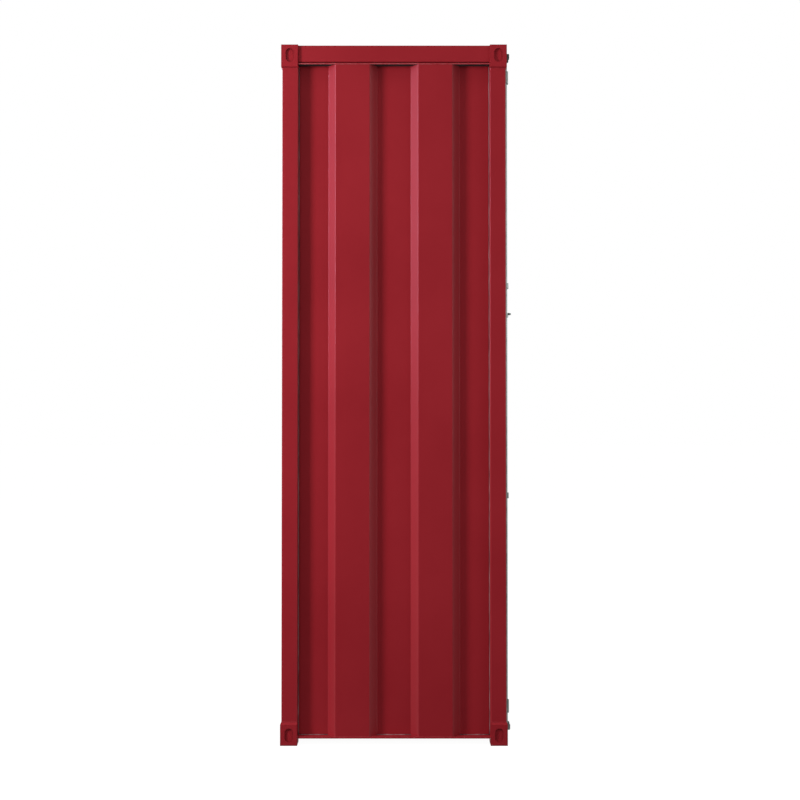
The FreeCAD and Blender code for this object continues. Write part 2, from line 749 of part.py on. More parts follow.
def door_skin():
    """The outer pressing: a flat face with swages, and edges folded back."""
    width, height = (-DOOR_HALF, DOOR_HALF), (DOOR_BOTTOM, DOOR_TOP)
    body = block(width, (DOOR_FACE, DOOR_BACK), height)
    front_edges = [edge for edge in body.Edges if edge.BoundBox.YMax < DOOR_FACE + SHEET / 2]
    upright_edges = edges_along(body, Y_AXIS)
    body = body.makeFillet(DOOR_ROUNDING, front_edges + upright_edges)
    hollow = block(
        (-DOOR_HALF + SHEET, DOOR_HALF - SHEET),
        (DOOR_FACE + SHEET, DOOR_BACK),
        (DOOR_BOTTOM + SHEET, DOOR_TOP - SHEET),
    )
    skin = body.cut(hollow)
    ranges = swage_ranges()
    skin = joined([skin] + [swage(limits, SHEET) for limits in ranges])
    skin = skin.cut([swage(limits, 0.0) for limits in ranges])
    places = guide_rivets() + strap_rivets() + cup_rivets()
    return skin.cut([rivet_hole(x, DOOR_FACE, z, SHEET) for x, z in places])


def door_liner():
    """The inner sheet, a shallow tray that closes the skin from behind."""
    reach = DOOR_HALF - SHEET
    z_low, z_high = DOOR_BOTTOM + SHEET, DOOR_TOP - SHEET
    body = block((-reach, reach), (DOOR_BACK - LINER_FLANGE, DOOR_BACK), (z_low, z_high))
    hollow = block(
        (-reach + SHEET, reach - SHEET),
        (DOOR_BACK - LINER_FLANGE, DOOR_BACK - SHEET),
        (z_low + SHEET, z_high - SHEET),
    )
    return body.cut(hollow)


def door_stiffener(x_side):
    """A channel inside the door behind a lock rod, between the skin and the liner."""
    x_middle = x_side * ROD_X
    half = STIFFENER_WIDTH / 2
    y_range = (DOOR_FACE + SHEET, DOOR_BACK - SHEET)
    z_range = (DOOR_BOTTOM + STIFFENER_MARGIN, DOOR_TOP - STIFFENER_MARGIN)
    body = block((x_middle - half, x_middle + half), y_range, z_range)
    hollow = block(
        (x_middle - half + SHEET, x_middle + half - SHEET),
        (y_range[0] + SHEET, y_range[1]),
        z_range,
    )
    return body.cut(hollow)


def door_gasket():
    """The rubber seal round the back of the door, which closes on the stop."""
    reach = DOOR_HALF - GASKET_INSET
    z_low, z_high = DOOR_BOTTOM + GASKET_INSET, DOOR_TOP - GASKET_INSET
    y_range = (DOOR_BACK, DOOR_BACK + GASKET_THICKNESS)
    outer = block((-reach, reach), y_range, (z_low, z_high))
    inner = block(
        (-reach + GASKET_WIDTH, reach - GASKET_WIDTH),
        y_range,
        (z_low + GASKET_WIDTH, z_high - GASKET_WIDTH),
    )
    ring = outer.cut(inner)
    rims = [edge for edge in ring.Edges if edge.BoundBox.YMin > y_range[1] - GASKET_THICKNESS / 4]
    return ring.makeFillet(GASKET_WIDTH / 4, rims)


# Hinges

def strap_end():
    return DOOR_HALF - SHEET / 2


def strap_rivet_x():
    """Where a strap's rivets stand, near its free end and clear of the lock rod that passes over it."""
    return strap_end() - STRAP_LENGTH + STRAP_RIVET_INSET


def hinge_lugs(z):
    """The two lugs on the post that hold one hinge's pin."""
    lugs = []
    for end in (-1, 1):
        near = z + end * (KNUCKLE_HEIGHT / 2 + HINGE_END_PLAY)
        z_low, z_high = min(near, near + end * LUG_HEIGHT), max(near, near + end * LUG_HEIGHT)
        barrel = upright_cylinder(KNUCKLE_RADIUS, HINGE_X, HINGE_Y, z_low, z_high)
        foot = block(
            (HINGE_X - KNUCKLE_RADIUS, HINGE_X + KNUCKLE_RADIUS),
            (HINGE_Y, Y_FRONT + CASTING_PROUD),
            (z_low, z_high),
        )
        hole = upright_cylinder(HINGE_PIN_RADIUS + SEAT_CLEARANCE, HINGE_X, HINGE_Y, z_low, z_high)
        lugs.append(joined([barrel, foot]).cut(hole))
    return lugs


def hinge_pin(z):
    """A headed pin, tight in the lugs."""
    reach = KNUCKLE_HEIGHT / 2 + HINGE_END_PLAY + LUG_HEIGHT
    shank = upright_cylinder(HINGE_PIN_RADIUS, HINGE_X, HINGE_Y, z - reach - PIN_TAIL, z + reach)
    head = upright_cylinder(PIN_HEAD_RADIUS, HINGE_X, HINGE_Y, z + reach, z + reach + PIN_HEAD_HEIGHT)
    rim = [edge for edge in head.Edges if edge.BoundBox.ZMin > z + reach + PIN_HEAD_HEIGHT / 2]
    head = head.makeFillet(PIN_HEAD_HEIGHT * 0.7, rim)
    return joined([shank, head])


def hinge_strap(z):
    """The moving leaf: a plate on the door, a web past the post, and the knuckle on the pin."""
    x_end = strap_end()
    z_low, z_high = z - KNUCKLE_HEIGHT / 2, z + KNUCKLE_HEIGHT / 2
    plate = block(
        (x_end - STRAP_LENGTH, x_end),
        (DOOR_FACE - STRAP_THICKNESS, DOOR_FACE),
        (z - STRAP_HEIGHT / 2, z + STRAP_HEIGHT / 2),
    )
    plate = rounded_along(plate, Y_AXIS, STRAP_THICKNESS)
    web = block((x_end - STRAP_WEB, x_end), (HINGE_Y - KNUCKLE_RADIUS, DOOR_FACE), (z_low, z_high))
    bridge = block(
        (x_end - STRAP_WEB, HINGE_X),
        (HINGE_Y - KNUCKLE_RADIUS, HINGE_Y + KNUCKLE_RADIUS),
        (z_low, z_high),
    )
    knuckle = upright_cylinder(KNUCKLE_RADIUS, HINGE_X, HINGE_Y, z_low, z_high)
    bore_radius = HINGE_PIN_RADIUS + RUNNING_CLEARANCE
    bore = upright_cylinder(bore_radius, HINGE_X, HINGE_Y, z_low, z_high)
    leaf = joined([plate, web, bridge, knuckle]).cut(bore)
    seat = DOOR_FACE - STRAP_THICKNESS
    rivet_x = strap_rivet_x()
    holes = [
        rivet_hole(rivet_x, seat, z + end * STRAP_RIVET_SPAN / 2, STRAP_THICKNESS) for end in (-1, 1)
    ]
    return leaf.cut(holes)


# Lock rods, guides, cams and keepers

def guide_height(index):
    at_end = index in (0, GUIDE_COUNT - 1)
    return END_GUIDE_HEIGHT if at_end else MIDDLE_GUIDE_HEIGHT


def rod_guide(x_side, index):
    """A bracket on the door with a bore that the lock rod turns in, and two riveted ears."""
    x, z = x_side * ROD_X, GUIDE_HEIGHTS[index]
    half = guide_height(index) / 2
    z_range = (z - half, z + half)
    bore_radius = ROD_RADIUS + RUNNING_CLEARANCE
    outer_radius = bore_radius + GUIDE_WALL
    saddle = block((x - outer_radius, x + outer_radius), (ROD_Y, DOOR_FACE), z_range)
    barrel = upright_cylinder(outer_radius, x, ROD_Y, *z_range)
    ears = block((x - GUIDE_EAR_REACH, x + GUIDE_EAR_REACH), (PLATE_FACE, DOOR_FACE), z_range)
    ears = rounded_along(ears, Y_AXIS, PLATE_THICKNESS)
    bore = upright_cylinder(bore_radius, x, ROD_Y, *z_range)
    holes = [
        rivet_hole(x + ear * GUIDE_RIVET_REACH, PLATE_FACE, z, PLATE_THICKNESS) for ear in (-1, 1)
    ]
    return joined([saddle, barrel, ears]).cut([bore] + holes)


def lock_rod(x_side):
    """The tube that carries the cams and the handle, from just below the sill's keeper to the header's."""
    x = x_side * ROD_X
    z_low = CAM_BOTTOM_Z - CAM_HEIGHT / 2 - ROD_END_PROUD
    z_high = CAM_TOP_Z + CAM_HEIGHT / 2 + ROD_END_PROUD
    body = upright_cylinder(ROD_RADIUS, x, ROD_Y, z_low, z_high)
    body = body.makeChamfer(ROD_END_CHAMFER, [edge for edge in body.Edges if edge.isClosed()])
    return body.cut(upright_cylinder(ROD_RADIUS - ROD_WALL, x, ROD_Y, z_low, z_high))


def rod_cam(x_side, z):
    """A round cam on the rod's end, with a flat that faces the keeper while the door is shut."""
    x = x_side * ROD_X
    z_low, z_high = z - CAM_HEIGHT / 2, z + CAM_HEIGHT / 2
    disc = upright_cylinder(CAM_RADIUS, x, ROD_Y, z_low, z_high)
    bore = upright_cylinder(ROD_RADIUS + SEAT_CLEARANCE, x, ROD_Y, z_low, z_high)
    beyond_flat = block(
        (x - CAM_RADIUS, x + CAM_RADIUS),
        (ROD_Y + CAM_FLAT, ROD_Y + CAM_RADIUS),
        (z_low, z_high),
    )
    return disc.cut([bore, beyond_flat])


def keeper(x_side, z):
    """A bracket on the header or the sill, with a cheek on each side of the cam, open to the front."""
    x = x_side * ROD_X
    z_range = (z - KEEPER_HEIGHT / 2, z + KEEPER_HEIGHT / 2)
    plate = block((x - KEEPER_REACH, x + KEEPER_REACH), (KEEPER_FACE, Y_FRAME), z_range)
    plate = rounded_along(plate, Y_AXIS, PLATE_THICKNESS)
    inner = CAM_RADIUS + KEEPER_CLEARANCE
    pieces = [plate]
    for side in (-1, 1):
        cheek = block(
            (x + side * inner, x + side * (inner + KEEPER_CHEEK)),
            (Y_FRONT - KEEPER_AHEAD, Y_FRAME),
            z_range,
        )
        front_edges = [
            edge for edge in edges_along(cheek, X_AXIS) if edge.CenterOfMass.y < Y_FRONT - KEEPER_AHEAD / 2
        ]
        pieces.append(cheek.makeFillet(KEEPER_CHEEK, front_edges))
    holes = [
        rivet_hole(x + ear * KEEPER_RIVET_REACH, KEEPER_FACE, z, PLATE_THICKNESS) for ear in (-1, 1)
    ]
    return joined(pieces).cut(holes)


# Handles and their cups

def handle_hub(x_side):
    """The collar on the rod, with a socket to one side that holds the handle."""
    x = x_side * ROD_X
    way = X_AXIS * -x_side
    z_middle = HANDLE_Z - HUB_DROP
    z_range = (z_middle - HUB_HEIGHT / 2, z_middle + HUB_HEIGHT / 2)
    collar = upright_cylinder(HUB_RADIUS, x, ROD_Y, *z_range)
    socket_radius = HANDLE_RADIUS + SEAT_CLEARANCE + SOCKET_WALL
    socket = Part.makeCylinder(socket_radius, SOCKET_END, Vector(x, HANDLE_Y, HANDLE_Z), way)
    rod_bore = upright_cylinder(ROD_RADIUS + SEAT_CLEARANCE, x, ROD_Y, *z_range)
    rod_way = upright_cylinder(
        ROD_RADIUS + SEAT_CLEARANCE, x, ROD_Y, HANDLE_Z - socket_radius, HANDLE_Z + socket_radius
    )
    handle_bore = Part.makeCylinder(
        HANDLE_RADIUS + SEAT_CLEARANCE, SOCKET_END, Vector(x, HANDLE_Y, HANDLE_Z) + way * HANDLE_ROOT, way
    )
    return joined([collar, socket]).cut([rod_bore, rod_way, handle_bore])


def handle(x_side):
    """A round bar with a domed end, let into the hub's socket."""
    way = X_AXIS * -x_side
    start = Vector(x_side * ROD_X, HANDLE_Y, HANDLE_Z) + way * HANDLE_ROOT
    length = HANDLE_LENGTH - HANDLE_ROOT - HANDLE_RADIUS
    bar = Part.makeCylinder(HANDLE_RADIUS, length, start, way)
    dome = Part.makeSphere(HANDLE_RADIUS, start + way * length)
    return joined([bar, dome])


def handle_cup(x_side):
    """A bracket on the door: a lip under the handle, and over it an arm with a padlock eye at its tip."""
    x = x_side * CUP_X
    half = CUP_PLATE_WIDTH / 2
    plate = block(
        (x - half, x + half),
        (PLATE_FACE, DOOR_FACE),
        (HANDLE_Z - CUP_PLATE_HEIGHT / 2, HANDLE_Z + CUP_PLATE_HEIGHT / 2),
    )
    plate = rounded_along(plate, Y_AXIS, PLATE_THICKNESS)
    holes = [
        rivet_hole(x, PLATE_FACE, HANDLE_Z + end * CUP_RIVET_SPAN / 2, PLATE_THICKNESS) for end in (-1, 1)
    ]
    eye_y = Y_FRONT - CUP_EYE_AHEAD
    arm_half = PADLOCK_EYE_RADIUS + PADLOCK_EYE_WALL
    x_range = (x - arm_half, x + arm_half)
    arm_z = HANDLE_Z + CUP_ARM_RISE
    arm = block(x_range, (eye_y, DOOR_FACE), (arm_z - CUP_ARM / 2, arm_z + CUP_ARM / 2))
    boss_range = (arm_z - PADLOCK_BOSS / 2, arm_z + PADLOCK_BOSS / 2)
    boss = upright_cylinder(arm_half, x, eye_y, *boss_range)
    padlock_eye = upright_cylinder(PADLOCK_EYE_RADIUS, x, eye_y, *boss_range)
    return joined([plate, arm, boss, cup_lip(x_range)]).cut([padlock_eye] + holes)


def cup_lip(x_range):
    """The lip that a handle rests over, with its front corners rounded."""
    top = HANDLE_Z - HANDLE_RADIUS - CUP_CLEARANCE
    tip = HANDLE_Y - CUP_LIP_REACH
    lip = block(x_range, (tip, DOOR_FACE), (top - CUP_LIP, top))
    front_edges = [edge for edge in edges_along(lip, Z_AXIS) if edge.CenterOfMass.y < tip + CUP_LIP]
    return lip.makeFillet(CUP_LIP_CORNER, front_edges)


# The whole locker, node by node

def case_nodes():
    nodes = {}
    for x_name, x_side in SIDES.items():
        for y_name, y_side in ENDS.items():
            nodes[f"casting_top_{y_name}_{x_name}"] = casting(x_side, y_side, True)
            nodes[f"casting_bottom_{y_name}_{x_name}"] = casting(x_side, y_side, False)
            nodes[f"post_{y_name}_{x_name}"] = corner_post(x_side, y_side)
        nodes[f"top_rail_{x_name}"] = side_rail(x_side)
        nodes[f"side_panel_{x_name}"] = side_panel(x_side)
        nodes[f"shelf_rail_{x_name}"] = shelf_rail(x_side)
        nodes[f"hanging_rail_cup_{x_name}"] = rail_cup(x_side)
        nodes[f"keeper_top_{x_name}"] = keeper(x_side, CAM_TOP_Z)
        nodes[f"keeper_bottom_{x_name}"] = keeper(x_side, CAM_BOTTOM_Z)
    nodes["top_rail_rear"] = rear_rail()
    nodes["header"] = header()
    nodes["sill"] = sill()
    nodes["back_panel"] = back_panel()
    nodes["roof_panel"] = roof_panel()
    nodes["floor_panel"] = floor_panel()
    nodes["shelf"] = shelf()
    nodes["hanging_rail"] = hanging_rail()
    lugs = [lug for z in HINGE_HEIGHTS for lug in hinge_lugs(z)]
    nodes["hinge_post_lugs"] = Part.makeCompound(lugs)
    nodes["hinge_pins"] = Part.makeCompound([hinge_pin(z) for z in HINGE_HEIGHTS])
    places = keeper_rivets(CAM_TOP_Z) + keeper_rivets(CAM_BOTTOM_Z)
    nodes["keeper_rivets"] = riveted(places, KEEPER_FACE, PLATE_THICKNESS + TUBE_WALL)
    return nodes


def door_nodes():
    nodes = {
        "door_skin": door_skin(),
        "door_liner": door_liner(),
        "door_gasket": door_gasket(),
        "hinge_straps": Part.makeCompound([hinge_strap(z) for z in HINGE_HEIGHTS]),
    }
    for x_name, x_side in SIDES.items():
        guides = [rod_guide(x_side, index) for index in range(GUIDE_COUNT)]
        nodes[f"rod_guides_{x_name}"] = Part.makeCompound(guides)
        nodes[f"handle_cup_{x_name}"] = handle_cup(x_side)
        nodes[f"door_stiffener_{x_name}"] = door_stiffener(x_side)
    strap_seat = DOOR_FACE - STRAP_THICKNESS
    nodes["guide_rivets"] = riveted(guide_rivets(), PLATE_FACE, PLATE_THICKNESS + SHEET)
    nodes["handle_cup_rivets"] = riveted(cup_rivets(), PLATE_FACE, PLATE_THICKNESS + SHEET)
    nodes["hinge_strap_rivets"] = riveted(strap_rivets(), strap_seat, STRAP_THICKNESS + SHEET)
    return nodes


def rod_nodes():
    nodes = {}
    for x_name, x_side in SIDES.items():
        nodes[f"lock_rod_{x_name}"] = lock_rod(x_side)
        nodes[f"cam_top_{x_name}"] = rod_cam(x_side, CAM_TOP_Z)
        nodes[f"cam_bottom_{x_name}"] = rod_cam(x_side, CAM_BOTTOM_Z)
        nodes[f"handle_hub_{x_name}"] = handle_hub(x_side)
        nodes[f"handle_{x_name}"] = handle(x_side)
    return nodes


def main():
    os.makedirs("parts", exist_ok=True)
    nodes = {**case_nodes(), **door_nodes(), **rod_nodes()}
    for name, shape in nodes.items():
        shape.exportStep(f"parts/{name}.step")
    print(f"{len(nodes)} nodes, the front hardware reaches {FRONT_REACH:.1f} mm ahead of the castings")


main()
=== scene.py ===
"""A red container-style locker, dressed with its finishes and seen from its side."""

import bmesh
import bpy
import math

from mathutils import Matrix, Vector


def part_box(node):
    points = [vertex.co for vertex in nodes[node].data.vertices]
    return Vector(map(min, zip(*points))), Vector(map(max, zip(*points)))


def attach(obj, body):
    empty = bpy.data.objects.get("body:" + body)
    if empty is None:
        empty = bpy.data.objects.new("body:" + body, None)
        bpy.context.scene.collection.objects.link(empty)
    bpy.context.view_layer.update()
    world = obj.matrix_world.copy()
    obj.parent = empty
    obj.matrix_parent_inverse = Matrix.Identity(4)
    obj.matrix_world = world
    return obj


# Camera: level with the locker's waist, a little over three metres from its side
CAMERA_PLACE = (-3.5, -0.002, 0.828)
CAMERA_TILT = math.radians(0.99)
CAMERA_LENS = 56.16
CAMERA_SENSOR = 36.0

# Softboxes: the place of each, the point that it looks at, its size across and up, and its power in watts
KEY_LIGHT = ((-1.38, 2.18, 1.52), (-0.28, 0.0, 1.40), (0.46, 1.05), 64.0)
FILL_LIGHT = ((-1.90, -2.40, 1.30), (-0.28, 0.0, 1.00), (1.2, 1.6), 12.0)
FRONT_LIGHT = ((-3.40, 0.70, 2.30), (-0.28, 0.0, 1.30), (1.6, 1.6), 18.0)
DOOR_LIGHT = ((0.25, -3.30, 1.70), (0.0, 0.0, 0.95), (1.6, 1.8), 46.0)
RIGHT_LIGHT = ((2.30, 2.20, 1.60), (0.28, 0.0, 1.00), (0.9, 1.6), 42.0)
OVERHEAD_LIGHT = ((-1.30, 0.40, 4.40), (-0.60, 0.0, 0.0), (1.6, 1.6), 24.0)
STRIP_LIGHT = ((-1.03, 2.07, 1.85), (-0.28, 0.0, 1.40), (0.22, 1.40), 60.0)
STRIP_TINT = (1.00, 0.58, 0.84)
AMBIENT = 0.38

# Grey flats behind the camera and behind the locker, which show only in gloss
FLAT_PLACES = (-7.0, 2.5)
FLAT_HALF = 7.0
FLAT_TONE = 0.12

# Floor
FLOOR_HALF = 40.0
FLOOR_TONE = 0.09
FLOOR_GLOW = 0.968

# Colours, as linear red, green and blue
RED_DEEP = (0.266, 0.0129, 0.0192)
RED_BRIGHT = (0.296, 0.0160, 0.0230)
# Pale red of the rims on sheet and posts: a painted highlight, standing in for the glint on bends
RED_EDGE_HIGHLIGHT = (0.390, 0.0225, 0.0350)
# Dark red of the rims on rails and castings: painted shade along their edges
RED_EDGE_SHADE = (0.090, 0.0043, 0.0072)
ZINC_DARK = (0.070, 0.080, 0.076)
ZINC_BRIGHT = (0.150, 0.165, 0.158)
ZINC_EDGE = (0.300, 0.318, 0.310)
STEEL_DARK = (0.210, 0.210, 0.215)
STEEL_BRIGHT = (0.360, 0.360, 0.365)
CHROME_DARK = (0.560, 0.565, 0.575)
CHROME_BRIGHT = (0.700, 0.705, 0.710)
RUBBER_DARK = (0.010, 0.010, 0.010)
RUBBER_BRIGHT = (0.026, 0.026, 0.027)
# Sealer tones; along the ledges the pale tone also paints a highlight
SEALER_DARK = (0.105, 0.027, 0.033)
SEALER_LIGHT = (0.320, 0.180, 0.190)

# Film of the red coat: its peel, and the least and most roughness, on sheet and on castings
RED_CLOUD_SCALE = 3.1
RED_BUMP_STRENGTH = 0.25
RED_SPECULAR = 0.07
SHEET_PEEL_SCALE = 650.0
SHEET_BUMP_DISTANCE = 0.00012
SHEET_ROUGHNESS = (0.52, 0.61)
CASTING_PEEL_SCALE = 260.0
CASTING_BUMP_DISTANCE = 0.00045
CASTING_ROUGHNESS = (0.56, 0.65)

# Rims painted on the red coat at sharp edges, as painted highlight on sheet and painted shade on rails and
# castings: the colour of each, its reach, and its share over the body colour
# Pale rim on sheet and posts: painted highlight
HIGHLIGHT_RIM = (RED_EDGE_HIGHLIGHT, 0.0012, 0.35)
# Dark rim on rails and castings: painted shade
SHADE_RIM = (RED_EDGE_SHADE, 0.0040, 0.70)

# Clear gloss on the red coat: faint on faces, full at the bends of the sheet, and between on its slopes
COAT_FACES = 0.010
COAT_BENDS = 1.0
COAT_SLOPES = 0.60
COAT_ROUGHNESS = 0.38
BEND_REACH = 0.003
SLOPE_FAINT = 0.30
SLOPE_FULL = 0.45

# Rubbed edges of the zinc plate
ZINC_RUB_REACH = 0.0010
ZINC_RUB_SHARE = 0.7

# Surface grain: a coarse peel under the fine one, and how cloud and peel share the gloss
COARSE_SCALE = 0.36
COARSE_HEIGHT = 1.4
GLOSS_FROM_CLOUD = 0.6
GLOSS_FROM_PEEL = 0.4

# Edge mask: the cosines of the bend where it starts and where it is full, and the breaks along it
EDGE_START = 0.995
EDGE_FULL = 0.90
EDGE_BREAK_SCALE = 160.0

# Stitch welds between the panels and the posts, inside the case; tip and waist are shares of the radius
WELD_LENGTH = 0.022
WELD_RADIUS = 0.0019
WELD_SIDES = 8
WELD_RIPPLES = 9
WELD_TIP = 0.45
WELD_WAIST = 0.82
WELD_PITCH = 0.21
WELD_END_MARGIN = 0.12

# Sealer beads outside, in the corners of the corrugated panels with the posts and their own ledges; along
# the ledges the pale sealer is also a painted highlight of the lit ledge
BEAD_WIDTH = 0.0019
BEAD_BULGE = 0.62
BEAD_SWELL = 0.14
BEAD_STEP = 0.024
BEAD_FAST_WAVE = 2.4
BEAD_SLOW_WAVE = 0.7
FOOT_LIP_HEIGHT = 0.0045
TOP_LIP_DEPTH = 0.0070

# Valleys of the corrugated panels, from the middle out, and the black rubber fills in their tops under the
# lip, which paint the shade there
VALLEY_DEPTH = 0.0208
MIDDLE_VALLEY_END = 0.0435
EDGE_VALLEY_START = 0.1695
VALLEY_FLARE = 0.0176
# Size of the black fills: painted shade under the lip
SHADE_FILL_FRONT = 0.0023
SHADE_FILL_TOP = 0.0037
SHADE_FILL_HEIGHT = 0.0021

# Corrugated panels: the way out of each, and the way across it
UP = Vector((0.0, 0.0, 1.0))
PANELS = (
    ("side_panel_left", Vector((-1.0, 0.0, 0.0)), Vector((0.0, 1.0, 0.0))),
    ("side_panel_right", Vector((1.0, 0.0, 0.0)), Vector((0.0, 1.0, 0.0))),
    ("back_panel", Vector((0.0, 1.0, 0.0)), Vector((1.0, 0.0, 0.0))),
)

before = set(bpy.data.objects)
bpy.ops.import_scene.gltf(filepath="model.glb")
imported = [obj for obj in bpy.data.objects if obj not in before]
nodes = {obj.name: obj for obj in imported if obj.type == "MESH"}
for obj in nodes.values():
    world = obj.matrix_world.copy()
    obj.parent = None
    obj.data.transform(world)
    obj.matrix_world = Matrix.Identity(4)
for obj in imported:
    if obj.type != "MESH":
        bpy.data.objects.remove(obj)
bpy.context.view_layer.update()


# Node groups that several finishes share

def new_group(name, inputs, outputs):
    """An empty shader group with named sockets: its node tree, its input node and its output node."""
    tree = bpy.data.node_groups.new(name, "ShaderNodeTree")
    for title, kind in inputs:
        tree.interface.new_socket(title, in_out="INPUT", socket_type=kind)
    for title, kind in outputs:
        tree.interface.new_socket(title, in_out="OUTPUT", socket_type=kind)
    return tree, tree.nodes.new("NodeGroupInput"), tree.nodes.new("NodeGroupOutput")


def feed(tree, socket, value):
    """Gives an input socket its value, which is a plain number or another socket."""
    if isinstance(value, (int, float)):
        socket.default_value = value
    else:
        tree.links.new(value, socket)


def math_node(tree, operation, first, second=0.0):
    """A Math node whose operands are sockets or plain numbers; gives its result."""
    node = tree.nodes.new("ShaderNodeMath")
    node.operation = operation
    feed(tree, node.inputs[0], first)
    feed(tree, node.inputs[1], second)
    return node.outputs["Value"]


def noise(tree, place, scale, detail, roughness):
    """A noise texture on a place socket; gives its value."""
    node = tree.nodes.new("ShaderNodeTexNoise")
    node.inputs["Detail"].default_value = detail
    node.inputs["Roughness"].default_value = roughness
    tree.links.new(place, node.inputs["Vector"])
    feed(tree, node.inputs["Scale"], scale)
    return node.outputs["Fac"]


def spread(tree, value, low, high):
    """Stretches a value so that low becomes 0 and high becomes 1, clamped."""
    node = tree.nodes.new("ShaderNodeMapRange")
    node.inputs["From Min"].default_value = low
    node.inputs["From Max"].default_value = high
    tree.links.new(value, node.inputs["Value"])
    return node.outputs["Result"]


def coat_grain_group():
    """The skin of a sprayed or cast surface: fine peel, and slow changes of tone and gloss."""
    tree, enter, leave = new_group(
        "coat_grain",
        [
            ("Place", "NodeSocketVector"),
            ("Peel Scale", "NodeSocketFloat"),
            ("Cloud Scale", "NodeSocketFloat"),
        ],
        [
            ("Height", "NodeSocketFloat"),
            ("Tone", "NodeSocketFloat"),
            ("Gloss", "NodeSocketFloat"),
        ],
    )
    place = enter.outputs["Place"]
    peel_scale = enter.outputs["Peel Scale"]
    peel = noise(tree, place, peel_scale, detail=2.0, roughness=0.55)
    coarse_scale = math_node(tree, "MULTIPLY", peel_scale, COARSE_SCALE)
    coarse = noise(tree, place, coarse_scale, detail=1.0, roughness=0.5)
    cloud = noise(tree, place, enter.outputs["Cloud Scale"], detail=4.0, roughness=0.6)
    height = math_node(tree, "ADD", peel, math_node(tree, "MULTIPLY", coarse, COARSE_HEIGHT))
    tree.links.new(height, leave.inputs["Height"])
    tree.links.new(spread(tree, cloud, low=0.32, high=0.68), leave.inputs["Tone"])
    cloud_share = math_node(tree, "MULTIPLY", cloud, GLOSS_FROM_CLOUD)
    peel_share = math_node(tree, "MULTIPLY", peel, GLOSS_FROM_PEEL)
    gloss = math_node(tree, "ADD", cloud_share, peel_share)
    tree.links.new(spread(tree, gloss, low=0.35, high=0.65), leave.inputs["Gloss"])
    return tree


def edge_group():
    """A mask that is 1 on sharp edges and fades to 0 on the faces, broken up a little."""
    tree, enter, leave = new_group(
        "edge_mask",
        [("Place", "NodeSocketVector"), ("Radius", "NodeSocketFloat")],
        [("Mask", "NodeSocketFloat")],
    )
    bevel = tree.nodes.new("ShaderNodeBevel")
    bevel.samples = 4
    tree.links.new(enter.outputs["Radius"], bevel.inputs["Radius"])
    geometry = tree.nodes.new("ShaderNodeNewGeometry")
    turn = tree.nodes.new("ShaderNodeVectorMath")
    turn.operation = "DOT_PRODUCT"
    tree.links.new(bevel.outputs["Normal"], turn.inputs[0])
    tree.links.new(geometry.outputs["Normal"], turn.inputs[1])
    bend = spread(tree, turn.outputs["Value"], low=EDGE_START, high=EDGE_FULL)
    patches = noise(tree, enter.outputs["Place"], EDGE_BREAK_SCALE, detail=3.0, roughness=0.6)
    breaks = spread(tree, patches, low=0.25, high=0.6)
    tree.links.new(math_node(tree, "MULTIPLY", bend, breaks), leave.inputs["Mask"])
    return tree


COAT_GRAIN = coat_grain_group()
EDGE_MASK = edge_group()


# Finishes

